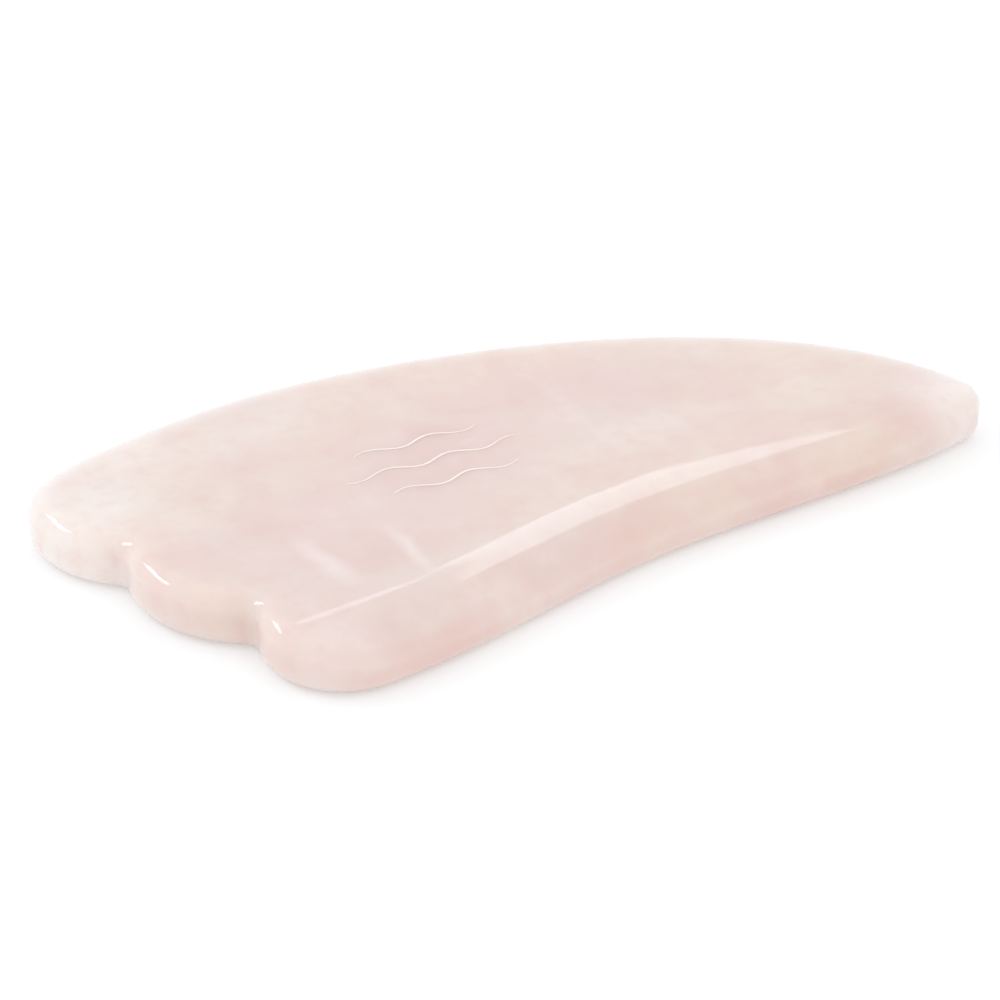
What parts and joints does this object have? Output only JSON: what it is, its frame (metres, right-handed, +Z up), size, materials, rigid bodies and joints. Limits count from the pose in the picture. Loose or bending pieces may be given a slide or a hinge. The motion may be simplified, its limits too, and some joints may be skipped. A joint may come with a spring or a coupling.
{
  "type": "gua sha scraper",
  "caption": "Flat polished stone scraper with a scalloped comb end, a long convex back, a thinned working edge, a blunt tip and an engraved wave ornament.",
  "frame": {"origin": "middle of the plate's box in plan, on the flat face that the plate rests on", "axes": "+X along the length from the comb end to the tip, +Y towards the convex back, +Z up through the thickness to the engraved face"},
  "size_m": [0.1164, 0.0608, 0.007],
  "materials": {
    "rose_stone": "polished rose quartz, milky and slightly translucent, with pale veins and pinker clouds",
    "pale_filling": "matt cream paint set in the engraved lines"
  },
  "bodies": {
    "root": {"stone_plate": "rose_stone", "wave_filling_lower": "pale_filling", "wave_filling_middle": "pale_filling", "wave_filling_upper": "pale_filling"}
  },
  "joints": []
}
